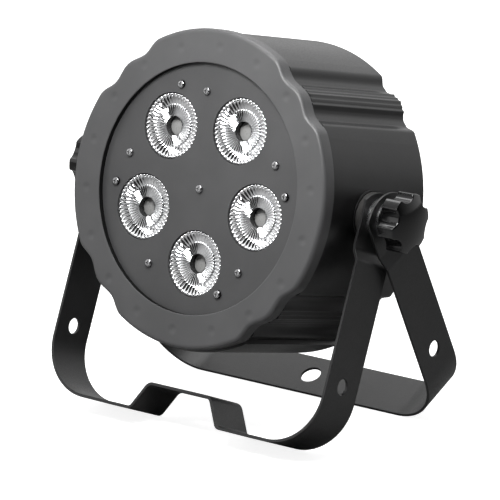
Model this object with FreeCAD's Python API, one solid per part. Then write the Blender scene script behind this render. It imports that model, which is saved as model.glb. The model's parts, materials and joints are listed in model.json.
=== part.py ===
"""An LED par can light: a drum-shaped head that tilts between two steel yokes.

The head is modelled in its own frame: its light axis is Y, the lenses face -Y, and its pivot axis is X
through the origin. Each yoke is modelled hanging straight down from the same axis. Both are then turned
about the pivot and lifted, so that the light stands on its two yokes with the floor at Z = 0.
All sizes are in millimetres and all angles in degrees.
"""
import FreeCAD, Part
import math
import os
from FreeCAD import Vector

# Stance
HEAD_TILT = -12.93
FRONT_SWING = 22.3

# Housing and bezel
BODY_RADIUS = 105.7
BASE_RADIUS = 108.9
BASE_HALF = 28.4
WALL = 2.8
BODY_REAR = 59.8
BEZEL_RADIUS = 107.2
BEZEL_FRONT = -52.6
BEZEL_DEPTH = 10.5
BEZEL_FACE = 3.0
BEZEL_WALL = 3.0
BEZEL_ROUND = 2.8
OPENING_RADIUS = 84.2
RECESS = 4.2
DIAGONALS = (45, 135, 225, 315)
SCALLOP_HALF = 18.0
BEZEL_SCALLOP = ((0.0, 2.2), (8.3, 4.7), (17.0, 0.0))
BODY_GROOVE = ((0.0, 0.1), (3.2, 1.4), (7.2, 4.8), (9.2, 4.5), (13.3, 0.0))
RIDGE_SPAN = 5.5
RIDGE_PITCH = 2.0
RIDGE_HEIGHT = 0.35
GROOVE_BACKING = 98.6
LEDGE_RADIUS = 95.0

# Optics and electronics stack, from the panel back
PANEL_RADIUS = 88.0
PANEL_THICK = 2.0
LENS_COUNT = 5
LENS_CIRCLE = 50.0
LENS_RADIUS = 22.1
LENS_OPENING = 22.45
LENS_RECESS = 0.5
LENS_BORE = 7.5
LENS_BORE_DEPTH = 8.75
PATTERN_TURN = 4.43
BOARD_SCREW_CIRCLE = 65.3
PANEL_SCREW_CIRCLE = 72.1
BOARD_FRONT = -28.0
BOARD_THICK = 1.6
BOARD_RADIUS = 78.0
SINK_RADIUS = 86.0
SINK_BASE = 5.0
FIN_REAR = -3.0
FIN_THICK = 2.0
FIN_PITCH = 8.0
FIN_COUNT = 13
LUG_CIRCLE = 82.0

# Yokes
STRAP_WIDTH = 35.3
STRAP_THICK = 2.0
FRONT_HALF_WIDTH = 118.1
FRONT_DROP = 160.8
FRONT_PLATE_X = 113.7
FRONT_JOGGLE = (24.0, 31.0)
REAR_HALF_WIDTH = 124.0
REAR_DROP = 165.1
REAR_PLATE_X = 120.5
REAR_JOGGLE = (20.0, 29.0)
PLATE_TOP = 16.3
PLATE_SHOULDER = 8.8
CORNER_RADIUS = 38.0
BEND_RADIUS = 5.0
HAT_TOP_HALF = 26.0
HAT_FOOT_HALF = 37.0
HAT_RISE = 18.85
ARM_HOLE_RADIUS = 5.5
FRONT_HOLE_DROP = 114.3
REAR_HOLE_DROP = 111.0
HAT_HOLE_RADIUS = 5.25
BAR_HOLE_RADIUS = 7.25

# Pivot stack, from the housing outwards
BOLT_RADIUS = 4.0
RUNNING_FIT = 0.06
PAD_X = 106.6
PAD_RADIUS = 17.0
INSERT_RADIUS = 6.0
INSERT_X = (89.0, 104.5)
BOSS_RADIUS = 11.0
BOSS_X = 86.0
WASHER_THICK = 1.6
WASHER_RADIUS = 12.0
KNOB_RADIUS = 20.0
KNOB_FACE_X = 140.0
KNOB_LOBE_DEPTH = 12.0
KNOB_LOBES = 6
KNOB_TURNS = {"right": 10.0, "left": -3.0}
KNOB_VALLEY_RADIUS = 7.3
KNOB_VALLEY_CIRCLE = 22.9
KNOB_DOME = 4.0
KNOB_HUB_RADIUS = 10.5
KNOB_ROUND = 1.0

# Rear cover and what is fixed to it
COVER_RADIUS = 98.4
COVER_REAR = 58.8
COVER_THICK = 2.5
COVER_SCREW_CIRCLE = 92.0
FAN_Z = 50.0
FAN_SIZE = 60.0
FAN_DEPTH = 15.0
FAN_BORE = 28.5
FAN_BLADES = 7
VENT_RADIUS = 27.0
VENT_PITCH = 6.2
VENT_HEIGHT = 3.2
DISPLAY_Z = 4.0
DISPLAY_SIZE = (44.0, 18.0)
BUTTON_Z = -15.0
BUTTON_XS = (-24.0, -8.0, 8.0, 24.0)
BUTTON_NAMES = ("menu_button", "down_button", "up_button", "enter_button")
BUTTON_RADIUS = 3.9
DATA_IN_AT = (-18.0, -58.0)
DATA_OUT_AT = (18.0, -58.0)
POWER_IN_AT = (-56.0, -36.0)
POWER_OUT_AT = (56.0, -36.0)
FUSE_AT = (-60.0, 2.0)
LOOP_AT = (60.0, 2.0)
SMALL_SCREW = 1.5
SMALL_HEAD = 2.8
SMALL_HEAD_TALL = 2.0
FREE_HOLE = 1.7
TAPPED_HOLE = 1.55

X_AXIS = Vector(1, 0, 0)
Y_AXIS = Vector(0, 1, 0)
Z_AXIS = Vector(0, 0, 1)

PANEL_FRONT = BEZEL_FRONT + RECESS
PANEL_BACK = PANEL_FRONT + PANEL_THICK
SKIRT_REAR = BEZEL_FRONT + BEZEL_DEPTH
BOARD_BACK = BOARD_FRONT + BOARD_THICK
SINK_BACK = BOARD_BACK + SINK_BASE
COVER_FRONT = COVER_REAR - COVER_THICK


def standing_height(drop, swing):
    """Height of the pivot above a floor that a yoke's bar touches with one edge."""
    turn = math.radians(swing)
    return drop * math.cos(turn) + STRAP_WIDTH / 2 * math.sin(turn)


def swing_for_height(drop, height):
    """Swing at which a yoke of this drop stands on the floor, that far below the pivot."""
    reach = math.hypot(drop, STRAP_WIDTH / 2)
    lean = math.atan2(STRAP_WIDTH / 2, drop)
    return math.degrees(lean + math.acos(height / reach))


def bar_reach(drop, swing):
    """How far a swung yoke reaches out from the pivot, along Y."""
    turn = math.radians(swing)
    return drop * math.sin(turn) + STRAP_WIDTH / 2 * math.cos(turn)


PIVOT_Z = standing_height(FRONT_DROP, FRONT_SWING)
REAR_SWING = swing_for_height(REAR_DROP, PIVOT_Z)
PIVOT_Y = (bar_reach(FRONT_DROP, FRONT_SWING) - bar_reach(REAR_DROP, REAR_SWING)) / 2
PIVOT = Vector(0, PIVOT_Y, PIVOT_Z)


# Shape helpers

def polar(radius, angle):
    """(x, z) of a point on a circle round the light axis."""
    return radius * math.cos(math.radians(angle)), radius * math.sin(math.radians(angle))


def disc(radius, y0, y1, x=0.0, z=0.0):
    return Part.makeCylinder(radius, y1 - y0, Vector(x, y0, z), Y_AXIS)


def ring(outer, inner, y0, y1, x=0.0, z=0.0):
    return disc(outer, y0, y1, x, z).cut(disc(inner, y0 - 1, y1 + 1, x, z))


def rod_x(radius, x0, x1):
    return Part.makeCylinder(radius, x1 - x0, Vector(x0, 0, 0), X_AXIS)


def ring_x(outer, inner, x0, x1):
    return rod_x(outer, x0, x1).cut(rod_x(inner, x0 - 1, x1 + 1))


def block(width, height, y0, y1, x=0.0, z=0.0):
    """A box centred on (x, z), from y0 to y1."""
    return Part.makeBox(width, y1 - y0, height, Vector(x - width / 2, y0, z - height / 2))


def round_edges(solid, radius, axis=Y_AXIS):
    """Rounds the straight edges that run along an axis."""
    chosen = []
    for edge in solid.Edges:
        if edge.Curve.TypeId == "Part::GeomLine":
            run = edge.Vertexes[1].Point - edge.Vertexes[0].Point
            if abs(run.normalize().dot(axis)) > 0.999:
                chosen.append(edge)
    return solid.makeFillet(radius, chosen)


def plate(width, height, y0, y1, corner, x=0.0, z=0.0):
    return round_edges(block(width, height, y0, y1, x, z), corner)


def turned(profile, x=0.0, z=0.0):
    """A solid of revolution about an axis along Y, from (radius, y) points."""
    points = [Vector(radius, y, 0) for radius, y in profile]
    solid = Part.Face(Part.makePolygon(points + points[:1])).revolve(Vector(), Y_AXIS, 360)
    solid.translate(Vector(x, 0, z))
    return solid


def prism(points, y0, y1):
    """An extrusion along Y of a polygon of (x, z) points."""
    corners = [Vector(x, y0, z) for x, z in points]
    return Part.Face(Part.makePolygon(corners + corners[:1])).extrude(Vector(0, y1 - y0, 0))


def fuse_all(shapes):
    shapes = list(shapes)
    return shapes[0].multiFuse(shapes[1:]).removeSplitter() if len(shapes) > 1 else shapes[0]


def cut_all(shape, tools):
    return shape.cut(Part.makeCompound(list(tools)))


def group(shapes):
    return Part.makeCompound(list(shapes))


def eased(offset, knots):
    """A value at an angle offset, eased between (offset, value) knots and even about 0."""
    offset = abs(offset)
    for (a, low), (b, high) in zip(knots, knots[1:]):
        if offset <= b:
            share = 0.5 - 0.5 * math.cos(math.pi * (offset - a) / (b - a))
            return low + (high - low) * share
    return knots[-1][1]


def scalloped_face(radius, knots, y, ridged=False):
    """A disc face whose outline dips by the knots' depths round each diagonal."""
    def point(angle, centre):
        depth = eased(angle - centre, knots)
        if ridged and abs(angle - centre) < RIDGE_SPAN:
            depth -= RIDGE_HEIGHT * math.cos(2 * math.pi * (angle - centre) / RIDGE_PITCH)
        x, z = polar(radius - depth, angle)
        return Vector(x, y, z)

    edges = []
    steps = int(SCALLOP_HALF * (3 if ridged else 1.5))
    for centre in DIAGONALS:
        angles = [centre + SCALLOP_HALF * i / steps for i in range(-steps, steps + 1)]
        curve = Part.BSplineCurve()
        ends = []
        for angle in (angles[0], angles[-1]):
            x, z = polar(1, angle + 90)
            ends.append(Vector(x, 0, z))
        curve.interpolate(Points=[point(a, centre) for a in angles],
                          InitialTangent=ends[0], FinalTangent=ends[1])
        edges.append(curve.toShape())
        arc = [centre + SCALLOP_HALF, centre + 45, centre + 90 - SCALLOP_HALF]
        edges.append(Part.Arc(*[Vector(*polar(radius, a)[:1], y, polar(radius, a)[1]) for a in arc]).toShape())
    return Part.Face(Part.Wire(edges))


def screw(x, z, y, length, head=SMALL_HEAD, tall=SMALL_HEAD_TALL, shank=SMALL_SCREW, facing=-1):
    """A pan-head screw with a cross recess. Its head sits on y and faces -Y, or +Y if facing is 1."""
    body = Part.makeCylinder(head, tall, Vector(), Y_AXIS)
    body = body.makeFillet(tall * 0.55, [e for e in body.Edges if e.BoundBox.YMin > tall - 0.01])
    for size in ((head * 1.1, 0.7), (0.7, head * 1.1)):
        body = body.cut(block(size[0], size[1], tall * 0.45, tall + 1))
    body = body.fuse(disc(shank, -length, 0)).removeSplitter()
    if facing < 0:
        body.rotate(Vector(), X_AXIS, 180)
    body.translate(Vector(x, y, z))
    return body


# Head: front

def lens_angles():
    return [-90 + PATTERN_TURN + 360 / LENS_COUNT * i for i in range(LENS_COUNT)]


def lens_places():
    return [polar(LENS_CIRCLE, angle) for angle in lens_angles()]


def board_screw_places():
    return [(0.0, 0.0)] + [polar(BOARD_SCREW_CIRCLE, angle + 180) for angle in lens_angles()]


def panel_screw_places():
    return [polar(PANEL_SCREW_CIRCLE, angle + PATTERN_TURN) for angle in (108, 180, 0, -72)]


def front_bezel():
    outline = scalloped_face(BEZEL_RADIUS, BEZEL_SCALLOP, BEZEL_FRONT)
    solid = outline.extrude(Vector(0, BEZEL_DEPTH, 0))
    front_edges = [e for e in solid.Edges if e.BoundBox.YMax < BEZEL_FRONT + 0.01]
    solid = solid.makeFillet(BEZEL_ROUND, front_edges)
    cavity = scalloped_face(BEZEL_RADIUS - BEZEL_WALL, BEZEL_SCALLOP, BEZEL_FRONT + BEZEL_FACE)
    solid = solid.cut(cavity.extrude(Vector(0, BEZEL_DEPTH, 0)))
    lip = ring(OPENING_RADIUS + BEZEL_WALL, OPENING_RADIUS, BEZEL_FRONT + BEZEL_FACE - 1, PANEL_FRONT)
    solid = solid.fuse(lip)
    return solid.cut(disc(OPENING_RADIUS, BEZEL_FRONT - 1, PANEL_FRONT + 1)).removeSplitter()


def front_panel():
    holes = [disc(LENS_OPENING, PANEL_FRONT - 1, PANEL_BACK + 1, x, z) for x, z in lens_places()]
    for x, z in board_screw_places() + panel_screw_places():
        holes.append(disc(FREE_HOLE, PANEL_FRONT - 1, PANEL_BACK + 1, x, z))
    return cut_all(disc(PANEL_RADIUS, PANEL_FRONT, PANEL_BACK), holes)


def lens(x, z):
    """A collimator: a cone with a flat front, a blind front bore and a pocket for the emitter."""
    front = PANEL_FRONT + LENS_RECESS
    bore = front + LENS_BORE_DEPTH
    profile = [(0, bore), (LENS_BORE, bore), (LENS_BORE, front), (LENS_RADIUS, front),
               (LENS_RADIUS, front + 2), (9, -30.5), (4.5, -30.5), (4.5, -34.5), (0, -36)]
    return turned(profile, x, z)


def lens_holder(x, z):
    rim = PANEL_BACK + 0.1
    foot = BOARD_FRONT - 0.1
    profile = [(22.6, rim), (24.6, rim), (24.6, rim + 1.4), (11.4, foot), (7.5, foot),
               (7.5, foot - 2.1), (9.4, foot - 2.1), (22.6, rim + 0.7)]
    return turned(profile, x, z)


def led_emitter(x, z):
    base = block(6.5, 6.5, BOARD_FRONT - 0.8, BOARD_FRONT, x, z)
    dome = Part.makeSphere(2.8, Vector(x, BOARD_FRONT - 0.8, z), Vector(0, -1, 0), 0, 90, 360)
    return base.fuse(dome)


def led_board():
    holes = [disc(FREE_HOLE, BOARD_FRONT - 1, BOARD_BACK + 1, x, z)
             for x, z in board_screw_places() + panel_screw_places()]
    return cut_all(disc(BOARD_RADIUS, BOARD_FRONT, BOARD_BACK), holes)


def board_spacers():
    return group(ring(3.2, FREE_HOLE, PANEL_BACK, BOARD_FRONT, x, z)
                 for x, z in board_screw_places() + panel_screw_places())


def lug_places():
    return [polar(LUG_CIRCLE, 22.5 + 90 * i) for i in range(4)]


def pillar_places():
    return [(x, z) for x in (-62, 62) for z in (-38, 38)]


def heatsink():
    base = disc(SINK_RADIUS, BOARD_BACK, SINK_BACK)
    fins = []
    for i in range(FIN_COUNT):
        x = (i - (FIN_COUNT - 1) / 2) * FIN_PITCH
        fins.append(block(FIN_THICK, 2 * BOARD_RADIUS, SINK_BACK - 1, FIN_REAR, x))
    fins = group(fins).common(disc(BOARD_RADIUS - 1, SINK_BACK - 1, FIN_REAR))
    holes = [disc(TAPPED_HOLE, BOARD_BACK - 1, SINK_BACK - 1, x, z)
             for x, z in board_screw_places() + panel_screw_places()]
    holes += [disc(FREE_HOLE, BOARD_BACK - 1, SINK_BACK + 1, x, z) for x, z in lug_places()]
    holes += [disc(TAPPED_HOLE, BOARD_BACK - 1, SINK_BACK + 1, x, z) for x, z in pillar_places()]
    return cut_all(fuse_all([base] + fins.Solids), holes)


def sink_screws():
    return group(screw(x, z, BOARD_BACK, 8) for x, z in lug_places())


# Head: housing

def sector(angle, half_width, inner, outer, y0, y1):
    """A wedge-shaped block between two radii, wide enough to span the sector's outer arc."""
    reach = outer / math.cos(math.radians(half_width))
    corners = [polar(r, angle + side * half_width)
               for r, side in ((inner, -1), (reach, -1), (reach, 1), (inner, 1))]
    return prism(corners, y0, y1)


def rear_boss_places():
    return [polar(COVER_SCREW_CIRCLE, 30 + 60 * i) for i in range(6)]


def housing_shell():
    ledge = COVER_FRONT - 2.5
    flange = SKIRT_REAR + WALL
    outline = scalloped_face(BODY_RADIUS, BODY_GROOVE, SKIRT_REAR, ridged=True)
    solid = outline.extrude(Vector(0, BODY_REAR - SKIRT_REAR, 0))
    cavity = disc(BODY_RADIUS - WALL, flange, ledge)
    backing = [sector(a, SCALLOP_HALF, 60, BODY_RADIUS, flange, ledge) for a in DIAGONALS]
    cavity = cut_all(cavity, backing).fuse(disc(GROOVE_BACKING, flange, ledge))
    solid = solid.cut(cavity)
    solid = solid.cut(disc(PANEL_RADIUS + 2, SKIRT_REAR - 1, flange + 1))
    solid = solid.cut(disc(LEDGE_RADIUS, ledge - 1, BODY_REAR + 1))
    solid = solid.cut(disc(COVER_RADIUS + 0.3, COVER_FRONT, BODY_REAR + 1))
    extras = [ring(GROOVE_BACKING, GROOVE_BACKING - WALL, SKIRT_REAR - 5.5, SKIRT_REAR + 0.5)]
    base = sector(270, BASE_HALF, 60, BASE_RADIUS, SKIRT_REAR, BODY_REAR)
    extras.append(base.common(ring(BASE_RADIUS, BODY_RADIUS - 1, SKIRT_REAR, BODY_REAR)))
    for x, z in rear_boss_places():
        extras.append(disc(4.5, 28, COVER_FRONT, x, z))
        length = BODY_RADIUS - 2 - COVER_SCREW_CIRCLE
        rib = Part.makeBox(length, COVER_FRONT - 28, 3, Vector(COVER_SCREW_CIRCLE, 28, -1.5))
        rib.rotate(Vector(), Y_AXIS, -math.degrees(math.atan2(z, x)))
        extras.append(rib)
    for i in range(4):
        lug = Part.makeBox(26, 4, 12, Vector(78.5, SINK_BACK, -6))
        lug.rotate(Vector(), Y_AXIS, -(22.5 + 90 * i))
        extras.append(lug.common(disc(BODY_RADIUS - 1, SINK_BACK, SINK_BACK + 4)))
    for side in (-1, 1):
        boss = rod_x(BOSS_RADIUS, BOSS_X, PAD_X - 2).fuse(rod_x(PAD_RADIUS, BODY_RADIUS - 4, PAD_X))
        extras.append(boss if side > 0 else boss.mirror(Vector(), X_AXIS))
    solid = fuse_all([solid] + extras)
    holes = [disc(TAPPED_HOLE, 40, COVER_FRONT + 1, x, z) for x, z in rear_boss_places()]
    holes += [disc(TAPPED_HOLE, SINK_BACK - 1, SINK_BACK + 5, x, z) for x, z in lug_places()]
    bore = rod_x(INSERT_RADIUS + 0.05, INSERT_X[0], PAD_X + 1)
    holes += [bore, bore.mirror(Vector(), X_AXIS)]
    return cut_all(solid, holes)


def pivot_inserts():
    insert = ring_x(INSERT_RADIUS, BOLT_RADIUS + RUNNING_FIT, *INSERT_X)
    return group([insert, insert.mirror(Vector(), X_AXIS)])


# Head: rear cover and its fittings

def vent_slots(y0, y1):
    slots = []
    for i in range(-4, 5):
        z = i * VENT_PITCH
        half = math.sqrt(VENT_RADIUS ** 2 - z ** 2)
        slots.append(plate(2 * half, VENT_HEIGHT, y0, y1, VENT_HEIGHT / 2 - 0.01, 0, FAN_Z + z))
    return slots


def fan_screw_places():
    return [(x, FAN_Z + z) for x in (-25, 25) for z in (-25, 25)]


def data_screw_places(at):
    return [(at[0] + dx, at[1] + dz) for dx, dz in ((-9.5, 12), (9.5, -12))]


def rear_cover():
    y0 = COVER_FRONT - 1
    y1 = COVER_REAR + 1
    tools = vent_slots(y0, y1)
    tools.append(plate(*DISPLAY_SIZE, y0, y1, 2, 0, DISPLAY_Z))
    tools += [disc(BUTTON_RADIUS + 0.2, y0, y1, x, BUTTON_Z) for x in BUTTON_XS]
    for x, z in (DATA_IN_AT, DATA_OUT_AT):
        tools.append(disc(12, y0, y1, x, z))
    tools.append(block(9, 5, y0, y1, DATA_OUT_AT[0], DATA_OUT_AT[1] + 12.3))
    for x, z in (POWER_IN_AT, POWER_OUT_AT):
        tools.append(plate(27.4, 20, y0, y1, 2, x, z))
    tools.append(disc(6.7, y0, y1, *FUSE_AT))
    tools += [disc(2.1, y0, y1, LOOP_AT[0], LOOP_AT[1] + dz) for dz in (-9, 9)]
    small = rear_boss_places() + fan_screw_places()
    small += data_screw_places(DATA_IN_AT) + data_screw_places(DATA_OUT_AT)
    tools += [disc(FREE_HOLE, y0, y1, x, z) for x, z in small]
    return cut_all(disc(COVER_RADIUS, COVER_FRONT, COVER_REAR), tools)


def cover_screws():
    return group(screw(x, z, COVER_REAR, 12, facing=1) for x, z in rear_boss_places())


def fan_frame():
    y0 = COVER_FRONT - FAN_DEPTH
    frame = plate(FAN_SIZE, FAN_SIZE, y0, COVER_FRONT, 4, 0, FAN_Z)
    frame = frame.cut(disc(FAN_BORE, y0 - 1, COVER_FRONT + 1, 0, FAN_Z))
    frame = frame.cut(ring(40, FAN_BORE + 2, y0 + 3, COVER_FRONT - 3, 0, FAN_Z))
    motor = disc(14, y0, y0 + 2, 0, FAN_Z)
    struts = [block(3, 2 * FAN_BORE + 2, y0, y0 + 2, 0, FAN_Z), block(2 * FAN_BORE + 2, 3, y0, y0 + 2, 0, FAN_Z)]
    frame = fuse_all([frame, motor] + struts)
    holes = [disc(1.6, y0 - 1, COVER_FRONT + 1, x, z) for x, z in fan_screw_places()]
    holes.append(disc(1.5 + RUNNING_FIT, y0 - 1, y0 + 3, 0, FAN_Z))
    return cut_all(frame, holes)


def fan_rotor():
    y0 = COVER_FRONT - FAN_DEPTH
    blades = []
    for i in range(FAN_BLADES):
        blade = Part.makeBox(18, 1.4, 15, Vector(11, -0.7, -7.5))
        blade.rotate(Vector(), X_AXIS, 42)
        blade.rotate(Vector(), Y_AXIS, 360 / FAN_BLADES * i)
        blade.translate(Vector(0, y0 + 8, 0))
        blades.append(blade.common(disc(FAN_BORE - 0.8, y0 + 3, COVER_FRONT - 1.2)))
    hub = disc(12.5, y0 + 2.6, COVER_FRONT - 1).fuse(disc(1.5, y0 + 0.3, y0 + 4))
    rotor = fuse_all([hub] + blades)
    rotor.translate(Vector(0, 0, FAN_Z))
    return rotor


def fan_screws():
    return group(screw(x, z, COVER_REAR, 14, facing=1) for x, z in fan_screw_places())


CONTROL_FRONT = 46.0
CONTROL_BACK = CONTROL_FRONT + 1.6


def control_board():
    """The board behind the cover, with the four push switches soldered to it."""
    board = plate(80, 40, CONTROL_FRONT, CONTROL_BACK, 1.5, 0, -2)
    switches = []
    for x in BUTTON_XS:
        switches.append(block(6, 6, CONTROL_BACK, CONTROL_BACK + 3.5, x, BUTTON_Z))
        switches.append(disc(1.7, CONTROL_BACK + 3.4, CONTROL_BACK + 4.6, x, BUTTON_Z))
    return fuse_all([board] + switches)


def display_module():
    return plate(40, 16, CONTROL_BACK, COVER_FRONT - 0.1, 0.8, 0, DISPLAY_Z)


def display_window():
    return plate(DISPLAY_SIZE[0] - 0.4, DISPLAY_SIZE[1] - 0.4, COVER_FRONT, COVER_REAR - 0.3, 1.8, 0, DISPLAY_Z)


def button(x):
    """A cap that stands proud of the cover, held in by a collar behind it."""
    top = COVER_REAR + 1.4
    cap = disc(BUTTON_RADIUS, CONTROL_BACK + 5.3, top, x, BUTTON_Z)
    cap = cap.makeFillet(0.6, [e for e in cap.Edges if e.BoundBox.YMin > top - 0.01])
    return cap.fuse(disc(BUTTON_RADIUS + 1, CONTROL_BACK + 5.3, COVER_FRONT - 0.2, x, BUTTON_Z)).removeSplitter()


FLANGE_BACK = COVER_REAR
FLANGE_FRONT = COVER_REAR + 2.0
DATA_DEPTH = 20.0
DATA_BORE = 9.3
DATA_FLOOR = 45.0


def data_pin_places(at):
    return [(at[0] + x, at[1] + z) for x, z in (polar(3.8, a) for a in (-90, 30, 150))]


def data_flange(at):
    flange = plate(26, 31, FLANGE_BACK, FLANGE_FRONT, 3, *at)
    flange = flange.fuse(disc(11.8, COVER_REAR - DATA_DEPTH, FLANGE_FRONT, *at))
    holes = [disc(FREE_HOLE, FLANGE_BACK - 1, FLANGE_FRONT + 1, x, z) for x, z in data_screw_places(at)]
    return cut_all(flange, holes).removeSplitter()


def data_in_socket():
    tools = [disc(DATA_BORE, DATA_FLOOR, FLANGE_FRONT + 1, *DATA_IN_AT)]
    tools += [disc(1.2, 30, FLANGE_FRONT, x, z) for x, z in data_pin_places(DATA_IN_AT)]
    return cut_all(data_flange(DATA_IN_AT), tools)


def data_in_pins():
    pins = []
    for x, z in data_pin_places(DATA_IN_AT):
        pin = disc(1.2, COVER_REAR - DATA_DEPTH - 3, FLANGE_FRONT - 3.5, x, z)
        pins.append(pin.makeFillet(0.8, [e for e in pin.Edges if e.BoundBox.YMin > FLANGE_FRONT - 3.6]))
    return group(pins)


def data_out_socket():
    x, z = DATA_OUT_AT
    tools = [ring(DATA_BORE, 7.4, DATA_FLOOR + 3, FLANGE_FRONT + 1, x, z)]
    tools += [disc(1.3, DATA_FLOOR, FLANGE_FRONT + 1, px, pz) for px, pz in data_pin_places(DATA_OUT_AT)]
    tools.append(block(8.6, 4.6, COVER_FRONT - 2, FLANGE_FRONT + 1, x, z + 12.3))
    return cut_all(data_flange(DATA_OUT_AT), tools)


def data_out_latch():
    x, z = DATA_OUT_AT
    tab = plate(8.2, 4.2, COVER_FRONT, FLANGE_FRONT + 1.4, 1.2, x, z + 12.3)
    return tab


def power_pins(at, y0, y1, grow=0.0):
    """Two blades below and one above, upright, as in a standard three-pole inlet."""
    return [block(2 + grow, 4 + grow, y0, y1, at[0] + dx, at[1] + dz) for dx, dz in ((-7, -2), (7, -2), (0, 2))]


def power_body(at):
    flange = plate(31, 24, FLANGE_BACK, FLANGE_FRONT, 2.5, *at)
    return flange.fuse(plate(27, 19.6, 42, FLANGE_BACK + 1, 2, *at)).removeSplitter()


def power_inlet():
    x, z = POWER_IN_AT
    recess = prism([(x - 12.2, z - 8.4), (x + 12.2, z - 8.4), (x + 12.2, z + 4), (x + 8, z + 8.4),
                    (x - 8, z + 8.4), (x - 12.2, z + 4)], DATA_FLOOR, FLANGE_FRONT + 1)
    return cut_all(power_body(POWER_IN_AT), [recess] + power_pins(POWER_IN_AT, 40, FLANGE_FRONT))


def power_inlet_pins():
    return group(power_pins(POWER_IN_AT, 38, FLANGE_FRONT - 4))


def power_outlet():
    return cut_all(power_body(POWER_OUT_AT), power_pins(POWER_OUT_AT, DATA_FLOOR, FLANGE_FRONT + 1, 0.6))


def connector_screws():
    places = data_screw_places(DATA_IN_AT) + data_screw_places(DATA_OUT_AT)
    return group(screw(x, z, FLANGE_FRONT, 10, head=2.7, facing=1) for x, z in places)


def fuse_holder():
    x, z = FUSE_AT
    holder = disc(6.5, 24, COVER_REAR, x, z).fuse(disc(8.5, COVER_REAR, COVER_REAR + 1.5, x, z))
    return holder.cut(disc(5.1, 28, COVER_REAR + 2, x, z)).removeSplitter()


def fuse_cap():
    x, z = FUSE_AT
    front = COVER_REAR + 1.6
    cap = disc(7, front, front + 3, x, z)
    cap = cap.makeFillet(0.8, [e for e in cap.Edges if e.BoundBox.YMin > front + 2.99])
    cap = cap.fuse(ring(5.0, 2.75, 34, front + 0.5, x, z))
    return cap.cut(block(9, 1.2, front + 1.8, front + 4, x, z)).removeSplitter()


def fuse_link():
    return disc(2.6, 34, 54, *FUSE_AT)


def safety_loop():
    x, z = LOOP_AT
    top = COVER_REAR + 5.5
    wire = [disc(2, COVER_FRONT - 5, top, x, z + dz) for dz in (-9, 9)]
    bow = Part.makeTorus(9, 2, Vector(x, top, z), X_AXIS)
    wire.append(bow.common(block(6, 30, top, top + 14, x, z)))
    return fuse_all(wire)


def safety_loop_nuts():
    nuts = []
    for dz in (-9, 9):
        x, z = LOOP_AT[0], LOOP_AT[1] + dz
        corners = [(x + 4.04 * math.cos(math.radians(60 * i)), z + 4.04 * math.sin(math.radians(60 * i)))
                   for i in range(6)]
        for y0, y1 in ((COVER_FRONT - 3.2, COVER_FRONT), (COVER_REAR, COVER_REAR + 3.2)):
            nuts.append(prism(corners, y0, y1).cut(disc(2, y0 - 1, y1 + 1, x, z)))
    return group(nuts)


POWER_BOARD = (8.0, 9.6)


def power_board():
    board = plate(132, 84, *POWER_BOARD, 3)
    return cut_all(board, [disc(FREE_HOLE, 7, 11, x, z) for x, z in pillar_places()])


def power_board_pillars():
    pillars = []
    for x, z in pillar_places():
        pillar = disc(3.2, SINK_BACK, POWER_BOARD[0], x, z)
        pillar = pillar.fuse(disc(SMALL_SCREW, BOARD_BACK + 1, POWER_BOARD[1] + 3, x, z))
        pillar = pillar.fuse(disc(3.0, POWER_BOARD[1], POWER_BOARD[1] + 2.4, x, z))
        pillars.append(pillar.removeSplitter())
    return group(pillars)


def power_transformer():
    y0 = POWER_BOARD[1]
    core = plate(28, 10, y0, y0 + 22, 0.8, 20, -12)
    winding = plate(19, 24, y0 + 1, y0 + 20, 4, 20, -12)
    return fuse_all([core, winding])


def power_capacitors():
    y0 = POWER_BOARD[1]
    cans = []
    for x, z in ((-20, 22), (0, 22), (-42, -20)):
        can = disc(8.5, y0, y0 + 20, x, z)
        cans.append(can.makeFillet(1, [e for e in can.Edges if e.BoundBox.YMin > y0 + 19.9]))
    return group(cans)


# Yokes

def offset_path(points, radii, distance):
    """A polyline and its bend radii, moved sideways by a distance to its left."""
    runs = [(b - a).normalize() for a, b in zip(points, points[1:])]
    lefts = [Vector(-run.z, 0, run.x) for run in runs]
    moved = [points[0] + lefts[0] * distance]
    bends = []
    for i in range(1, len(points) - 1):
        before = lefts[i - 1]
        after = lefts[i]
        moved.append(points[i] + (before + after) * (distance / (1 + before.dot(after))))
        turn = 1 if before.dot(runs[i]) > 0 else -1
        bends.append(radii[i - 1] - turn * distance)
    moved.append(points[-1] + lefts[-1] * distance)
    return moved, bends


def rounded_path(points, radii):
    """The lines and arcs of a polyline with rounded corners."""
    edges = []
    start = points[0]
    for i, radius in enumerate(radii, 1):
        back = (points[i - 1] - points[i]).normalize()
        ahead = (points[i + 1] - points[i]).normalize()
        half = back.getAngle(ahead) / 2
        first = points[i] + back * (radius / math.tan(half))
        last = points[i] + ahead * (radius / math.tan(half))
        middle = points[i] + (back + ahead).normalize() * (radius / math.sin(half) - radius)
        edges.append(Part.LineSegment(start, first).toShape())
        edges.append(Part.Arc(first, middle, last).toShape())
        start = last
    edges.append(Part.LineSegment(start, points[-1]).toShape())
    return edges


def strap(half_path, half_radii):
    """A bent flat strap, symmetric in X, from the outer face's path on the +X side, top end first."""
    right = [Vector(x, 0, z) for x, z in half_path]
    left = [Vector(-p.x, 0, p.z) for p in reversed(right)]
    points = right + left
    radii = half_radii + half_radii[::-1]
    inner, inner_radii = offset_path(points, radii, -STRAP_THICK)
    edges = rounded_path(points, radii) + rounded_path(inner, inner_radii)
    edges.append(Part.LineSegment(points[0], inner[0]).toShape())
    edges.append(Part.LineSegment(points[-1], inner[-1]).toShape())
    profile = Part.Face(Part.Wire(Part.sortEdges(edges)[0]))
    solid = profile.extrude(Vector(0, STRAP_WIDTH, 0))
    solid.translate(Vector(0, -STRAP_WIDTH / 2, 0))
    return solid


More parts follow.
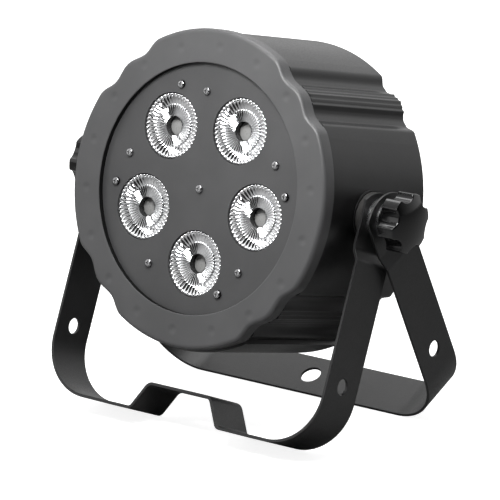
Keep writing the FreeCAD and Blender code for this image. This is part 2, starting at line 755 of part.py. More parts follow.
def arched_tops(solid, drop):
    """Rounds the tops of both arms to a shallow arch between two shoulders."""
    half = STRAP_WIDTH / 2
    outline = [(-half, PLATE_SHOULDER), (-half, -drop - 10), (half, -drop - 10), (half, PLATE_SHOULDER)]
    corners = [Vector(-200, y, z) for y, z in outline]
    edges = Part.makePolygon(corners).Edges
    edges.append(Part.Arc(corners[-1], Vector(-200, 0, PLATE_TOP), corners[0]).toShape())
    mask = Part.Face(Part.Wire(edges)).extrude(Vector(400, 0, 0))
    return solid.common(mask)


def arm_path(plate_x, half_width, joggle, drop):
    return [(plate_x, PLATE_TOP), (plate_x, -joggle[0]), (half_width, -joggle[1]), (half_width, -drop)]


def yoke_holes(drop, arm_hole_drop, middle_radius):
    """Pivot holes, one hole in each arm, and one in the middle of the bar."""
    arm = rod_x(ARM_HOLE_RADIUS, -200, 200)
    arm.translate(Vector(0, 0, -arm_hole_drop))
    middle = Part.makeCylinder(middle_radius, 60, Vector(0, 0, -drop - 10), Z_AXIS)
    return [rod_x(BOLT_RADIUS + RUNNING_FIT, -200, 200), arm, middle]


def front_yoke():
    path = arm_path(FRONT_PLATE_X, FRONT_HALF_WIDTH, FRONT_JOGGLE, FRONT_DROP)
    path += [(HAT_FOOT_HALF, -FRONT_DROP), (HAT_TOP_HALF, -FRONT_DROP + HAT_RISE)]
    radii = [BEND_RADIUS, BEND_RADIUS, CORNER_RADIUS, BEND_RADIUS, BEND_RADIUS]
    solid = arched_tops(strap(path, radii), FRONT_DROP)
    return cut_all(solid, yoke_holes(FRONT_DROP, FRONT_HOLE_DROP, HAT_HOLE_RADIUS))


def rear_yoke():
    path = arm_path(REAR_PLATE_X, REAR_HALF_WIDTH, REAR_JOGGLE, REAR_DROP)
    radii = [BEND_RADIUS, BEND_RADIUS, CORNER_RADIUS]
    solid = arched_tops(strap(path, radii), REAR_DROP)
    return cut_all(solid, yoke_holes(REAR_DROP, REAR_HOLE_DROP, BAR_HOLE_RADIUS))


# Pivot stack, made for the +X side

def friction_washer():
    return ring_x(16, BOLT_RADIUS + RUNNING_FIT, PAD_X, FRONT_PLATE_X - STRAP_THICK)


def yoke_spacer():
    return ring_x(13, BOLT_RADIUS + RUNNING_FIT, FRONT_PLATE_X, REAR_PLATE_X - STRAP_THICK)


def plain_washer():
    return ring_x(WASHER_RADIUS, BOLT_RADIUS + RUNNING_FIT, REAR_PLATE_X, REAR_PLATE_X + WASHER_THICK)


def knob_bolt():
    """A hexagon-head bolt, its head moulded into the knob."""
    shank = rod_x(BOLT_RADIUS, INSERT_X[0] + 1, KNOB_FACE_X - 9)
    corners = [Vector(KNOB_FACE_X - 10, 7.5 * math.cos(math.radians(60 * i)), 7.5 * math.sin(math.radians(60 * i)))
               for i in range(6)]
    head = Part.Face(Part.makePolygon(corners + corners[:1])).extrude(Vector(5.3, 0, 0))
    return shank.fuse(head)


def knob(turn):
    """A six-lobed knob with a domed face, on a short hub."""
    back = REAR_PLATE_X + WASHER_THICK
    lobes_back = KNOB_FACE_X - KNOB_LOBE_DEPTH
    dome_radius = (KNOB_RADIUS ** 2 + KNOB_DOME ** 2) / (2 * KNOB_DOME)
    dome = Part.makeSphere(dome_radius, Vector(KNOB_FACE_X + KNOB_DOME - dome_radius, 0, 0))
    star = rod_x(KNOB_RADIUS, lobes_back, KNOB_FACE_X + KNOB_DOME).common(dome)
    valleys = []
    for i in range(KNOB_LOBES):
        angle = math.radians(turn + 360 / KNOB_LOBES * (i + 0.5))
        centre = Vector(lobes_back - 1, KNOB_VALLEY_CIRCLE * math.cos(angle), KNOB_VALLEY_CIRCLE * math.sin(angle))
        valleys.append(Part.makeCylinder(KNOB_VALLEY_RADIUS, KNOB_LOBE_DEPTH + 6, centre, X_AXIS))
    star = round_edges(cut_all(star, valleys), 1.4, X_AXIS)
    rim = [e for e in star.Edges if e.BoundBox.XMin > KNOB_FACE_X - 0.5]
    star = star.makeFillet(KNOB_ROUND, rim)
    hub = rod_x(KNOB_HUB_RADIUS, back, lobes_back + 2)
    return star.fuse(hub).cut(knob_bolt()).removeSplitter()


# Placing and writing

def placed(shape, turn=0.0):
    """A shape turned about the pivot axis and lifted to its place."""
    shape = shape.copy()
    shape.rotate(Vector(), X_AXIS, turn)
    shape.translate(PIVOT)
    return shape


def both_sides(shape):
    return group([shape, shape.mirror(Vector(), X_AXIS)])


def save(name, shape):
    shape.exportStep("parts/" + name + ".step")


def head_parts():
    parts = {
        "front_bezel": front_bezel(),
        "front_panel": front_panel(),
        "panel_screws": group(screw(x, z, PANEL_FRONT, 25) for x, z in panel_screw_places()),
        "board_screws": group(screw(x, z, PANEL_FRONT, 25) for x, z in board_screw_places()),
        "board_spacers": board_spacers(),
        "led_emitters": group(led_emitter(x, z) for x, z in lens_places()),
        "led_board": led_board(),
        "heatsink": heatsink(),
        "heatsink_screws": sink_screws(),
        "housing_shell": housing_shell(),
        "pivot_inserts": pivot_inserts(),
        "friction_washers": both_sides(friction_washer()),
        "rear_cover": rear_cover(),
        "cover_screws": cover_screws(),
        "fan_frame": fan_frame(),
        "fan_rotor": fan_rotor(),
        "fan_screws": fan_screws(),
        "control_board": control_board(),
        "display_module": display_module(),
        "display_window": display_window(),
        "data_in_socket": data_in_socket(),
        "data_in_pins": data_in_pins(),
        "data_out_socket": data_out_socket(),
        "data_out_latch": data_out_latch(),
        "power_inlet": power_inlet(),
        "power_inlet_pins": power_inlet_pins(),
        "power_outlet": power_outlet(),
        "connector_screws": connector_screws(),
        "fuse_holder": fuse_holder(),
        "fuse_cap": fuse_cap(),
        "fuse_link": fuse_link(),
        "safety_loop": safety_loop(),
        "safety_loop_nuts": safety_loop_nuts(),
        "power_board": power_board(),
        "power_board_pillars": power_board_pillars(),
        "power_transformer": power_transformer(),
        "power_capacitors": power_capacitors(),
    }
    for i, (x, z) in enumerate(lens_places(), 1):
        parts["lens_%d" % i] = lens(x, z)
        parts["lens_holder_%d" % i] = lens_holder(x, z)
    for name, x in zip(BUTTON_NAMES, BUTTON_XS):
        parts[name] = button(x)
    return parts


def main():
    os.makedirs("parts", exist_ok=True)
    for name, shape in head_parts().items():
        save(name, placed(shape, HEAD_TILT))
    save("front_yoke", placed(front_yoke(), -FRONT_SWING))
    save("rear_yoke", placed(rear_yoke(), REAR_SWING))
    save("yoke_spacers", placed(both_sides(yoke_spacer())))
    for side, turn in KNOB_TURNS.items():
        for name, shape in (("washer", plain_washer()), ("bolt", knob_bolt()), ("knob", knob(turn))):
            if side == "left":
                shape = shape.mirror(Vector(), X_AXIS)
            save(side + "_" + name, placed(shape))


main()
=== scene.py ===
import bpy
import bmesh
import json
import math
from mathutils import Matrix, Vector

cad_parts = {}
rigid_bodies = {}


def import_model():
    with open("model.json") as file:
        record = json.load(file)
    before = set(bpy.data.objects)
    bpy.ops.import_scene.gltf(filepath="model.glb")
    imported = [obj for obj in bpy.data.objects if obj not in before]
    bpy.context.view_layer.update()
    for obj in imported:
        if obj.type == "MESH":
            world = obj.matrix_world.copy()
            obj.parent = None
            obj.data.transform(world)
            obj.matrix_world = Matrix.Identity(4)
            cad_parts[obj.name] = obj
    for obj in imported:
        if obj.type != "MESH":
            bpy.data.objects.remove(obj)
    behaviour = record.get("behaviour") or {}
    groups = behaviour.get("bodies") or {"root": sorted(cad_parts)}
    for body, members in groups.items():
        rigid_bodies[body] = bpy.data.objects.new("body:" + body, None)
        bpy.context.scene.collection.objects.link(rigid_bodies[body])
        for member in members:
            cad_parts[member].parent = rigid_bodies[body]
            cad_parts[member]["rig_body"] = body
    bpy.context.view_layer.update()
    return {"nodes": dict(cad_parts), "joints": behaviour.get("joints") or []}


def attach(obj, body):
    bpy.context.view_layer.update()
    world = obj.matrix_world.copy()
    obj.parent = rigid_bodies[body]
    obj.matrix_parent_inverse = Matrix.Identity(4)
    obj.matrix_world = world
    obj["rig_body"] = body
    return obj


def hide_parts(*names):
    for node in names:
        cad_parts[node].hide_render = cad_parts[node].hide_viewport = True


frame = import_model()

# Everything below is built in the head's own frame, in millimetres, and then put in its place:
# x along the tilt axis, y towards the rear of the head, z up the head, origin on the tilt axis.
MM = 0.001
joints = {j["name"]: j for j in frame["joints"]}
PIVOT = Vector(joints["head_tilt"]["pos_m"])
SIDE = Vector((1, 0, 0))
REAR = Vector(joints["fan_spin"]["axis"]).normalized()
UP = SIDE.cross(REAR)
HEAD = Matrix.Translation(PIVOT) @ Matrix((SIDE, REAR, UP)).transposed().to_4x4() @ Matrix.Scale(MM, 4)

# Sizes that repeat the CAD model's
BEZEL_RADIUS = 107.19
BEZEL_FRONT = -52.6
BEZEL_DEPTH = 10.5
BEZEL_WALL = 3.0
BEZEL_ROUND = 2.8
OPENING_RADIUS = 84.2
RECESS = 4.2
BEZEL_SCALLOP = ((0.0, 2.2), (8.3, 4.7), (17.0, 0.0))
PANEL_FRONT = BEZEL_FRONT + RECESS
LENS_COUNT = 5
LENS_CIRCLE = 50.0
LENS_RADIUS = 22.1
LENS_RECESS = 0.5
LENS_BORE_DEPTH = 8.75
PATTERN_TURN = 4.43


def polar(radius, angle):
    return radius * math.cos(math.radians(angle)), radius * math.sin(math.radians(angle))


# Materials

def new_material(name):
    material = bpy.data.materials.new(name)
    material.use_nodes = True
    nodes = material.node_tree.nodes
    return material, nodes, material.node_tree.links, nodes["Principled BSDF"]


# How the procedural textures are laid out: sizes, octaves and the part of the noise that a ramp spreads
BASE_DETAIL = 4.0
BLOTCH_SCALE, BLOTCH_DETAIL = 30.0, 6.0
GRAIN_DETAIL = 3.0
BUMP_DETAIL = 2.0
BUMP_DISTANCE = 0.0002
RAMP_START, RAMP_END = 0.35, 0.65
CLEAR_BLOTCH, CLEAR_GRAIN = 60.0, 800.0
CLEAR_SPECULAR = 0.6
CLEAR_DARKER, CLEAR_ROUGHER = 0.9, 1.6


def noise(nodes, links, scale, detail=BASE_DETAIL, stretch=None):
    """A noise texture in object space, stretched along an axis if asked, as a grey value."""
    place = nodes.new("ShaderNodeTexCoord")
    texture = nodes.new("ShaderNodeTexNoise")
    texture.inputs["Scale"].default_value = scale
    texture.inputs["Detail"].default_value = detail
    if stretch:
        mapping = nodes.new("ShaderNodeMapping")
        mapping.inputs["Scale"].default_value = stretch
        links.new(place.outputs["Object"], mapping.inputs["Vector"])
        links.new(mapping.outputs["Vector"], texture.inputs["Vector"])
    else:
        links.new(place.outputs["Object"], texture.inputs["Vector"])
    return texture.outputs["Fac"]


def ramp(nodes, links, value, low, high):
    """Maps a grey value to a range of colours or numbers."""
    node = nodes.new("ShaderNodeValToRGB")
    node.color_ramp.elements[0].position = RAMP_START
    node.color_ramp.elements[1].position = RAMP_END
    node.color_ramp.elements[0].color = as_colour(low)
    node.color_ramp.elements[1].color = as_colour(high)
    links.new(value, node.inputs["Fac"])
    return node.outputs["Color"]


def as_colour(value):
    if isinstance(value, (int, float)):
        return value, value, value, 1
    return (*value, 1)


def surface(name, dark, light, rough, grain=900.0, bump=0.05, bump_scale=2500.0, metallic=0.0,
            specular=0.5, stretch=None):
    """A painted, moulded or plated surface: blotches of colour, a fine grain in gloss and a fine bump."""
    material, nodes, links, shader = new_material(name)
    shader.inputs["Metallic"].default_value = metallic
    shader.inputs["Specular IOR Level"].default_value = specular
    blotches = noise(nodes, links, BLOTCH_SCALE, BLOTCH_DETAIL, stretch)
    links.new(ramp(nodes, links, blotches, dark, light), shader.inputs["Base Color"])
    grains = noise(nodes, links, grain, GRAIN_DETAIL, stretch)
    links.new(ramp(nodes, links, grains, rough[0], rough[1]), shader.inputs["Roughness"])
    bumps = nodes.new("ShaderNodeBump")
    bumps.inputs["Strength"].default_value = bump
    bumps.inputs["Distance"].default_value = BUMP_DISTANCE
    links.new(noise(nodes, links, bump_scale, BUMP_DETAIL, stretch), bumps.inputs["Height"])
    links.new(bumps.outputs["Normal"], shader.inputs["Normal"])
    return material


def clear(name, tint, rough, alpha):
    """A see-through surface with a faint tint."""
    material, nodes, links, shader = new_material(name)
    shader.inputs["Alpha"].default_value = alpha
    shader.inputs["Specular IOR Level"].default_value = CLEAR_SPECULAR
    darker = [CLEAR_DARKER * c for c in tint]
    blotches = noise(nodes, links, CLEAR_BLOTCH)
    links.new(ramp(nodes, links, blotches, darker, tint), shader.inputs["Base Color"])
    grains = noise(nodes, links, CLEAR_GRAIN)
    links.new(ramp(nodes, links, grains, rough, rough * CLEAR_ROUGHER), shader.inputs["Roughness"])
    return material


MATERIALS = {
    "housing": surface("housing_plastic", (0.008, 0.008, 0.0085), (0.012, 0.012, 0.0125),
                       (0.30, 0.38), bump=0.12),
    "bezel": surface("bezel_plastic", (0.070, 0.070, 0.0715), (0.082, 0.082, 0.0838),
                     (0.38, 0.48), bump=0.10),
    "panel": surface("panel_paint", (0.054, 0.054, 0.0552), (0.064, 0.064, 0.0654),
                     (0.44, 0.53), bump=0.08),
    "yoke": surface("powder_coat", (0.010, 0.010, 0.0105), (0.015, 0.015, 0.0155),
                    (0.36, 0.46), bump=0.35, bump_scale=1500.0),
    "knob": surface("knob_gloss", (0.003, 0.003, 0.0032), (0.005, 0.005, 0.0053), (0.09, 0.15),
                    bump=0.02, specular=0.55),
    "steel": surface("zinc_plate", (0.50, 0.50, 0.51), (0.62, 0.62, 0.63), (0.22, 0.36),
                     metallic=1.0, stretch=(1, 6, 1)),
    "black_steel": surface("black_screw", (0.30, 0.30, 0.305), (0.42, 0.42, 0.425),
                           (0.14, 0.22), metallic=1.0),
    # Near-black painted shade, used on the bezel opening's wall and on the panel screws' rims and cross
    # recesses
    "dark": surface("shadow_black", (0.003, 0.003, 0.003), (0.005, 0.005, 0.005), (0.6, 0.75),
                    specular=0.15),
    "friction": surface("friction_disc", (0.022, 0.021, 0.020), (0.040, 0.038, 0.036),
                        (0.75, 0.9), bump=0.4),
    "brass": surface("turned_brass", (0.62, 0.45, 0.20), (0.74, 0.56, 0.28), (0.25, 0.35),
                     metallic=1.0, stretch=(6, 1, 1)),
    "plastic": surface("grained_plastic", (0.018, 0.018, 0.019), (0.026, 0.026, 0.027),
                       (0.45, 0.6), bump=0.5, bump_scale=1800.0),
    "button": surface("button_plastic", (0.04, 0.04, 0.042), (0.055, 0.055, 0.057),
                      (0.5, 0.62), bump=0.2),
    "holder": surface("holder_plastic", (0.012, 0.012, 0.012), (0.02, 0.02, 0.02), (0.6, 0.75),
                      bump=0.2),
    "board": surface("solder_mask", (0.012, 0.075, 0.03), (0.02, 0.11, 0.045), (0.3, 0.4),
                     grain=400.0),
    "aluminium": surface("sawn_aluminium", (0.60, 0.61, 0.62), (0.72, 0.73, 0.74), (0.3, 0.45),
                         metallic=1.0, stretch=(1, 8, 1)),
    "sleeve": surface("shrink_sleeve", (0.02, 0.025, 0.04), (0.03, 0.035, 0.055), (0.25, 0.35)),
    "phosphor": surface("led_phosphor", (0.75, 0.62, 0.25), (0.85, 0.72, 0.32), (0.3, 0.4),
                        grain=1500.0),
    "window": clear("smoked_window", (0.03, 0.03, 0.035), 0.06, 0.75),
    "glass": clear("fuse_glass", (0.85, 0.87, 0.88), 0.04, 0.5),
}

NODE_MATERIALS = {
    "housing": ("housing_shell", "rear_cover"),
    "bezel": ("front_bezel",),
    "panel": ("front_panel",),
    "yoke": ("front_yoke", "rear_yoke"),
    "knob": ("left_knob", "right_knob"),
    "steel": ("left_bolt", "right_bolt", "left_washer", "right_washer", "yoke_spacers",
              "safety_loop", "safety_loop_nuts", "heatsink_screws", "board_spacers",
              "power_board_pillars", "data_out_latch"),
    "black_steel": ("panel_screws", "board_screws", "cover_screws", "connector_screws", "fan_screws"),
    "friction": ("friction_washers",),
    "brass": ("pivot_inserts", "data_in_pins", "power_inlet_pins"),
    "plastic": ("data_in_socket", "data_out_socket", "power_inlet", "power_outlet", "fuse_holder",
                "fuse_cap", "fan_frame", "fan_rotor", "display_module"),
    "button": ("menu_button", "down_button", "up_button", "enter_button"),
    "holder": tuple("lens_holder_%d" % i for i in range(1, LENS_COUNT + 1)),
    "board": ("led_board", "control_board", "power_board"),
    "aluminium": ("heatsink",),
    "sleeve": ("power_capacitors", "power_transformer"),
    "phosphor": ("led_emitters",),
    "window": ("display_window",),
    "glass": ("fuse_link",) + tuple("lens_%d" % i for i in range(1, LENS_COUNT + 1)),
}


def dress(obj, material):
    obj.data.materials.clear()
    obj.data.materials.append(material)


for key, names in NODE_MATERIALS.items():
    for node_name in names:
        node = frame["nodes"][node_name]
        dress(node, MATERIALS[key])
        node.data.polygons.foreach_set("use_smooth", [True] * len(node.data.polygons))


# Mesh helpers

def add_piece(name, bm, body, material, nodes, matrix=HEAD):
    """Turns a bmesh made in a local frame into a piece that rides on a body and stands for CAD nodes."""
    mesh = bpy.data.meshes.new(name)
    bm.to_mesh(mesh)
    bm.free()
    mesh.transform(matrix)
    obj = bpy.data.objects.new(name, mesh)
    bpy.context.scene.collection.objects.link(obj)
    dress(obj, material)
    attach(obj, body)
    if nodes:
        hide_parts(*nodes)
    return obj


def shade_smooth(obj, angle):
    """Smooth shading that keeps the edges sharper than an angle in degrees."""
    mesh = obj.data
    mesh.polygons.foreach_set("use_smooth", [True] * len(mesh.polygons))
    bm = bmesh.new()
    bm.from_mesh(mesh)
    for edge in bm.edges:
        if len(edge.link_faces) == 2 and edge.calc_face_angle() > math.radians(angle):
            edge.smooth = False
    bm.to_mesh(mesh)
    bm.free()


def loop_grid(bm, rows, close_rows=True):
    """Quads between rows of points. Every row is a closed ring, and the last row can join the first."""
    rings = [[bm.verts.new(p) for p in row] for row in rows]
    count = len(rings) if close_rows else len(rings) - 1
    for i in range(count):
        a, b = rings[i], rings[(i + 1) % len(rings)]
        for j in range(len(a)):
            k = (j + 1) % len(a)
            bm.faces.new((a[j], a[k], b[k], b[j]))
    return rings


MERGE_DISTANCE = 2e-6
FLAT_ANGLE = 0.5
EDGE_ANGLE = 30
ROUNDED_SMOOTH_ANGLE = 40


def round_edges(node_name, width, segments):
    """Shows a CAD node as a copy with its coplanar triangles joined and its edges rounded."""
    source = frame["nodes"][node_name]
    bm = bmesh.new()
    bm.from_mesh(source.data)
    bmesh.ops.remove_doubles(bm, verts=bm.verts, dist=MERGE_DISTANCE)
    bmesh.ops.dissolve_limit(bm, angle_limit=math.radians(FLAT_ANGLE), verts=bm.verts, edges=bm.edges)
    sharp = math.radians(EDGE_ANGLE)
    edges = [e for e in bm.edges if len(e.link_faces) == 2 and e.calc_face_angle() > sharp]
    bmesh.ops.bevel(bm, geom=edges, offset=width * MM, offset_type="OFFSET", segments=segments,
                    profile=0.5, affect="EDGES", clamp_overlap=True)
    obj = add_piece(node_name + "_rounded", bm, source["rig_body"], source.data.materials[0],
                    [node_name], Matrix.Identity(4))
    shade_smooth(obj, ROUNDED_SMOOTH_ANGLE)
    modifier = obj.modifiers.new("weights", "WEIGHTED_NORMAL")
    modifier.keep_sharp = True


# Bezel

def eased(offset, knots):
    """A value at an angle offset, eased between (offset, value) knots and even about 0."""
    offset = abs(offset)
    for (a, low), (b, high) in zip(knots, knots[1:]):
        if offset <= b:
            share = 0.5 - 0.5 * math.cos(math.pi * (offset - a) / (b - a))
            return low + (high - low) * share
    return knots[-1][1]


BEZEL_STEPS = 720
FACE_STEPS = 20
DIMPLE_CIRCLE = 95.5
DIMPLE_SPACING = 20.0
DIMPLE_START = 8.0
DIMPLE_HALF = 4.2
DIMPLE_DEPTH = 0.36
ROUND_STEPS = 8
BEZEL_FLANGE = 3.0
BEZEL_LAND = 0.8
SKIRT_CHAMFER = 0.4
SKIRT_BAND = 1.2
BEZEL_SMOOTH_ANGLE = 35


def dimple(radius, angle):
    """Depth of the shallow sink marks that follow each other round the bezel's face."""
    nearest = round((angle - DIMPLE_START) / DIMPLE_SPACING) * DIMPLE_SPACING + DIMPLE_START
    along = math.radians(angle - nearest) * DIMPLE_CIRCLE
    reach = math.hypot(along, radius - DIMPLE_CIRCLE) / DIMPLE_HALF
    return DIMPLE_DEPTH * (0.5 + 0.5 * math.cos(math.pi * reach)) if reach < 1 else 0.0


def bezel_section(angle):
    """(radius, y) points round the bezel's section at an angle, as one closed loop."""
    outer = BEZEL_RADIUS - eased(angle % 90 - 45, BEZEL_SCALLOP)
    points = [(OPENING_RADIUS, PANEL_FRONT), (OPENING_RADIUS, BEZEL_FRONT + 0.5),
              (OPENING_RADIUS + 0.15, BEZEL_FRONT + 0.15), (OPENING_RADIUS + 0.5, BEZEL_FRONT)]
    start, end = OPENING_RADIUS + BEZEL_LAND, outer - BEZEL_ROUND
    for i in range(FACE_STEPS + 1):
        radius = start + (end - start) * i / FACE_STEPS
        points.append((radius, BEZEL_FRONT + dimple(radius, angle)))
    for i in range(1, ROUND_STEPS + 1):
        turn = math.radians(90 * i / ROUND_STEPS)
        points.append((end + BEZEL_ROUND * math.sin(turn),
                       BEZEL_FRONT + BEZEL_ROUND * (1 - math.cos(turn))))
    skirt = BEZEL_FRONT + BEZEL_DEPTH
    inner = outer - BEZEL_WALL
    back = BEZEL_FRONT + BEZEL_FLANGE
    lip = OPENING_RADIUS + BEZEL_FLANGE
    points += [(outer, skirt - SKIRT_BAND), (outer, skirt - SKIRT_CHAMFER),
               (outer - SKIRT_CHAMFER, skirt), (inner, skirt), (inner, back), (lip, back),
               (lip, PANEL_FRONT)]
    return points


def make_bezel():
    """The bezel ring, with the wall of its opening painted black as painted shade."""
    bm = bmesh.new()
    sections = [bezel_section(360 * i / BEZEL_STEPS) for i in range(BEZEL_STEPS)]
    rows = []
    for k in range(len(sections[0])):
        row = []
        for i, section in enumerate(sections):
            radius, y = section[k]
            x, z = polar(radius, 360 * i / BEZEL_STEPS)
            row.append((x, y, z))
        rows.append(row)
    loop_grid(bm, rows)
    bmesh.ops.recalc_face_normals(bm, faces=bm.faces)
    obj = add_piece("bezel_ring", bm, "head", MATERIALS["bezel"], ["front_bezel"])
    # Painted shade: the wall of the opening takes the near-black material in place of the bezel's own
    # grey, for the shadowed recess
    obj.data.materials.append(MATERIALS["dark"])
    for polygon in obj.data.polygons:
        rim = [HEAD.inverted() @ obj.data.vertices[i].co for i in polygon.vertices]
        if max(math.hypot(p.x, p.z) for p in rim) < OPENING_RADIUS + 0.01:
            polygon.material_index = 1
    shade_smooth(obj, BEZEL_SMOOTH_ANGLE)


make_bezel()


# Lenses: a dished mirror-bright optic of beads and flutes round a smooth blind bore

FLUTES = 44
LENS_STEPS = FLUTES * 10
BORE_STEPS = 96
EYE_STEPS = 14
BEAD_INNER = 20.2
FLUTE_INNER = 14.2
BEAD_DEPTH, BEAD_RISE = 1.1, 0.9
# Depth at the band's outer edge, fall across it, height of its flutes, and the shares of that height
# that stay even and that swell towards the middle of the band
OUTER_BAND = (1.1, 1.9, 0.75, 0.35, 0.65)
INNER_BAND = (2.3, 1.5, 0.62, 0.45, 0.55)
# (inset from the lens's radius, depth) down the lens's edge, from the back
LENS_EDGE = ((0.4, 3.2), (0.0, 2.4), (0.0, 1.2))
EYE_RADIUS = 6.7
EYE_RISE = 0.7
EYE_INSET = 0.05
BORE_MOUTH = 4.0
# (inset from the eye's radius, depth) down the bore
BORE_WALL = ((0.01, 3.4), (0.03, 6.0), (EYE_INSET, LENS_BORE_DEPTH))


def rows_inwards(start, span, steps):
    """Radii at even steps from a start inwards."""
    return [start - span * i / steps for i in range(steps + 1)]


LENS_RADII = [LENS_RADIUS - 0.002]
LENS_RADII += rows_inwards(LENS_RADIUS, 1.9, 8)[1:]
LENS_RADII += rows_inwards(20.19, 5.98, 15)
LENS_RADII += rows_inwards(14.19, 14.18 - EYE_RADIUS, 15)


def bead(share, across):
    """Height of one bead, from 0 to 1, at a share of the way round it and across it."""
    return math.sqrt(max(0.0, 1 - (2 * share - 1) ** 2)) * math.sqrt(max(0.0, 1 - (2 * across - 1) ** 2))


def flute(band, share, along):
    """Depth of a fluted band at a share of the way round one flute and across the band."""
    depth, fall, height, even, swell = band
    return (depth + fall * along
            - height * math.sin(math.pi * share) * (even + swell * math.sin(math.pi * along)))


def lens_depth(radius, angle):
    """How far the faceted face stands back from the lens's front plane."""
    pitch = 360 / FLUTES
    share = (angle / pitch) % 1.0
    half = (angle / pitch + 0.5) % 1.0
    if radius > BEAD_INNER:
        return BEAD_DEPTH - BEAD_RISE * bead(share, (radius - BEAD_INNER) / (LENS_RADIUS - BEAD_INNER))
    if radius > FLUTE_INNER:
        return flute(OUTER_BAND, half, (BEAD_INNER - radius) / 6.0)
    return flute(INNER_BAND, share, (FLUTE_INNER - radius) / (FLUTE_INNER - EYE_RADIUS))


def circle(centre, radius, y, steps):
    """A closed ring of points round an axis along y."""
    points = []
    for i in range(steps):
        x, z = polar(radius, 360 * i / steps)
        points.append((centre[0] + x, y, centre[1] + z))
    return points


def lens_facets(centre, front):
    """The lens's edge, beads and flutes down to the mouth of its bore."""
    rows = [circle(centre, LENS_RADIUS - inset, front + depth, LENS_STEPS) for inset, depth in LENS_EDGE]
    for radius in LENS_RADII:
        row = []
        for i in range(LENS_STEPS):
            angle = 360 * i / LENS_STEPS
            x, z = polar(radius, angle)
            row.append((centre[0] + x, front + lens_depth(radius, angle), centre[1] + z))
        rows.append(row)
    rows.append(circle(centre, EYE_RADIUS, front + BORE_MOUTH, LENS_STEPS))
    bm = bmesh.new()
    loop_grid(bm, rows, close_rows=False)
    return bm


def lens_bore(centre, front):
    """The smooth wall of the lens's blind bore."""
    bm = bmesh.new()
    loop_grid(bm, [circle(centre, EYE_RADIUS - inset, front + depth, BORE_STEPS)
                   for inset, depth in BORE_WALL], close_rows=False)
    return bm


def lens_dome(centre, front):
    """The shallow dome on the floor of the bore."""
    rows = []
    for i in range(EYE_STEPS):
        turn = math.radians(90 * i / EYE_STEPS)
        depth = LENS_BORE_DEPTH - EYE_RISE * math.sin(turn)
        rows.append(circle(centre, (EYE_RADIUS - EYE_INSET) * math.cos(turn), front + depth, BORE_STEPS))
    bm = bmesh.new()
    rings = loop_grid(bm, rows, close_rows=False)
    top = bm.verts.new((centre[0], front + LENS_BORE_DEPTH - EYE_RISE, centre[1]))
    for j in range(BORE_STEPS):
        bm.faces.new((rings[-1][j], rings[-1][(j + 1) % BORE_STEPS], top))
    bmesh.ops.recalc_face_normals(bm, faces=bm.faces)
    return bm


def make_lens(index, material, wall_material, eye_material):
    centre = polar(LENS_CIRCLE, -90 + PATTERN_TURN + 360 / LENS_COUNT * index)
    front = PANEL_FRONT + LENS_RECESS
    name = "lens_%d" % (index + 1)
    facets = add_piece(name + "_facets", lens_facets(centre, front), "head", material, [name])
    shade_smooth(facets, 50)
    wall = add_piece(name + "_bore", lens_bore(centre, front), "head", wall_material, [])
    shade_smooth(wall, 50)
    eye = add_piece(name + "_eye", lens_dome(centre, front), "head", eye_material, [])
    shade_smooth(eye, 60)


mirror = surface("lens_facets", (0.86, 0.87, 0.88), (0.94, 0.94, 0.95), (0.05, 0.12),
                 metallic=1.0, bump=0.02)
bore_wall = surface("lens_bore_wall", (0.012, 0.012, 0.0125), (0.02, 0.02, 0.0205), (0.2, 0.3),
                    bump=0.01)
lens_eye = surface("lens_eye", (0.26, 0.26, 0.255), (0.33, 0.33, 0.325), (0.25, 0.35), bump=0.02)
for lens_index in range(LENS_COUNT):
    make_lens(lens_index, mirror, bore_wall, lens_eye)


# Both yokes get rounded edges

YOKE_EDGE = 0.45
YOKE_EDGE_STEPS = 3
for node_name in ("front_yoke", "rear_yoke"):
    round_edges(node_name, YOKE_EDGE, YOKE_EDGE_STEPS)


# The panel screws' rims and cross recesses are painted black as painted shade, and only their domed tops
# catch the light

SCREW_TOP_LIMIT = 0.62


def paint_shade_on_sides(node_name, dark_limit):
    """Blackens the faces of a node that don't face forwards by more than a limit, as painted shade."""
    node = frame["nodes"][node_name]
    node.data.materials.append(MATERIALS["dark"])
    for polygon in node.data.polygons:
        if polygon.normal.dot(-REAR) < dark_limit:
            polygon.material_index = 1


paint_shade_on_sides("panel_screws", SCREW_TOP_LIMIT)


# Floor, light and camera

WHITE = (1, 1, 1, 1)
FLOOR_SIZE = 12.0
FLOOR_NOISE = 3.0
FLOOR_SHADES = (0.80, 0.82)
FLOOR_ROUGHNESS = 0.9
FLOOR_SPECULAR = 0.1
FLOOR_EMISSION = 0.25
FLOOR_GLOW = 0.62
FLOOR_DIM = (0.3, 0.3, 0.3, 1)


def floor_material():
    """White to the camera, and dim to every other ray, so that the dark object stays dark."""
    material, nodes, links, shader = new_material("floor_white")
    shader.inputs["Roughness"].default_value = FLOOR_ROUGHNESS
    shader.inputs["Specular IOR Level"].default_value = FLOOR_SPECULAR
    blotches = noise(nodes, links, FLOOR_NOISE)
    links.new(ramp(nodes, links, blotches, *FLOOR_SHADES), shader.inputs["Base Color"])
    shader.inputs["Emission Color"].default_value = WHITE
    shader.inputs["Emission Strength"].default_value = FLOOR_EMISSION
    glow = nodes.new("ShaderNodeEmission")
    glow.inputs["Color"].default_value = WHITE
    glow.inputs["Strength"].default_value = FLOOR_GLOW
    lit = nodes.new("ShaderNodeAddShader")
    links.new(shader.outputs["BSDF"], lit.inputs[0])
    links.new(glow.outputs["Emission"], lit.inputs[1])
    dim = nodes.new("ShaderNodeBsdfDiffuse")
    dim.inputs["Color"].default_value = FLOOR_DIM
    path = nodes.new("ShaderNodeLightPath")
    mix = nodes.new("ShaderNodeMixShader")
    links.new(path.outputs["Is Camera Ray"], mix.inputs["Fac"])
    links.new(dim.outputs["BSDF"], mix.inputs[1])
    links.new(lit.outputs["Shader"], mix.inputs[2])
    links.new(mix.outputs["Shader"], nodes["Material Output"].inputs["Surface"])
    return material


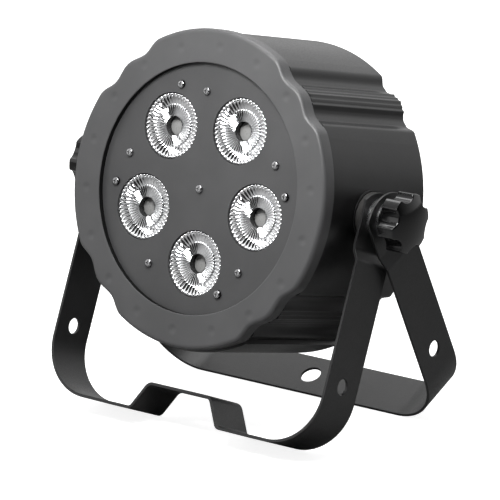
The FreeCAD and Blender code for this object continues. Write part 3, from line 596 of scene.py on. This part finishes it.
def set_floor():
    mesh = bpy.data.meshes.new("floor")
    mesh.from_pydata([(-FLOOR_SIZE, -FLOOR_SIZE, 0), (FLOOR_SIZE, -FLOOR_SIZE, 0),
                      (FLOOR_SIZE, FLOOR_SIZE, 0), (-FLOOR_SIZE, FLOOR_SIZE, 0)], [], [(0, 1, 2, 3)])
    floor = bpy.data.objects.new("floor", mesh)
    bpy.context.scene.collection.objects.link(floor)
    dress(floor, floor_material())


set_floor()

BRIGHT_SIDE = (-0.62, 0.78, 0.05)
SURROUND_START, SURROUND_END = 0.35, 0.74
SURROUND_DARK, SURROUND_LIGHT = 0.02, 0.95


def set_world():
    """A bright surround behind and to the left, and a dimmer one on the camera's side."""
    world = bpy.data.worlds.new("studio")
    bpy.context.scene.world = world
    world.use_nodes = True
    nodes, links = world.node_tree.nodes, world.node_tree.links
    background = nodes["Background"]
    output = nodes["World Output"]
    place = nodes.new("ShaderNodeTexCoord")
    dot = nodes.new("ShaderNodeVectorMath")
    dot.operation = "DOT_PRODUCT"
    dot.inputs[1].default_value = Vector(BRIGHT_SIDE).normalized()
    links.new(place.outputs["Generated"], dot.inputs[0])
    shades = nodes.new("ShaderNodeValToRGB")
    shades.color_ramp.elements[0].position = SURROUND_START
    shades.color_ramp.elements[0].color = as_colour(SURROUND_DARK)
    shades.color_ramp.elements[1].position = SURROUND_END
    shades.color_ramp.elements[1].color = as_colour(SURROUND_LIGHT)
    shift = nodes.new("ShaderNodeMath")
    shift.operation = "MULTIPLY_ADD"
    shift.inputs[1].default_value = 0.5
    shift.inputs[2].default_value = 0.5
    links.new(dot.outputs["Value"], shift.inputs[0])
    links.new(shift.outputs["Value"], shades.inputs["Fac"])
    links.new(shades.outputs["Color"], background.inputs["Color"])
    white = nodes.new("ShaderNodeBackground")
    white.inputs["Color"].default_value = WHITE
    white.inputs["Strength"].default_value = 1.0
    path = nodes.new("ShaderNodeLightPath")
    mix = nodes.new("ShaderNodeMixShader")
    links.new(path.outputs["Is Camera Ray"], mix.inputs["Fac"])
    links.new(background.outputs["Background"], mix.inputs[1])
    links.new(white.outputs["Background"], mix.inputs[2])
    links.new(mix.outputs["Shader"], output.inputs["Surface"])


set_world()
bpy.context.scene.view_settings.view_transform = "Standard"


def softbox(name, location, target, size, power):
    """A rectangular lamp that lights the object and isn't seen itself."""
    light = bpy.data.lights.new(name, "AREA")
    light.shape = "RECTANGLE"
    light.size, light.size_y = size
    light.energy = power
    obj = bpy.data.objects.new(name, light)
    obj.location = location
    obj.rotation_euler = (Vector(target) - Vector(location)).to_track_quat("-Z", "Y").to_euler()
    obj.visible_camera = False
    bpy.context.scene.collection.objects.link(obj)


TARGET = (0, 0, 0.14)
softbox("top_box", (-0.3, 0.3, 1.9), TARGET, (1.4, 1.4), 23)
softbox("key_box", (0.08, -0.30, 0.50), (0.05, -0.05, 0.2), (0.25, 0.15), 2.6)
softbox("front_left_box", (-1.6, -1.8, 0.95), TARGET, (1.5, 1.7), 9)

CAMERA_PLACE = (1.77985, -2.20300, 0.86515)
CAMERA_TILT, CAMERA_AZIMUTH = 75.13, 38.94
CAMERA_LENS = 310.9
CAMERA_SENSOR = 36
CAMERA_NEAR = 0.1

camera_data = bpy.data.cameras.new("camera")
camera_data.lens = CAMERA_LENS
camera_data.sensor_width = CAMERA_SENSOR
camera_data.clip_start = CAMERA_NEAR
camera = bpy.data.objects.new("camera", camera_data)
camera.location = CAMERA_PLACE
camera.rotation_euler = (math.radians(CAMERA_TILT), 0, math.radians(CAMERA_AZIMUTH))
bpy.context.scene.collection.objects.link(camera)
bpy.context.scene.camera = camera
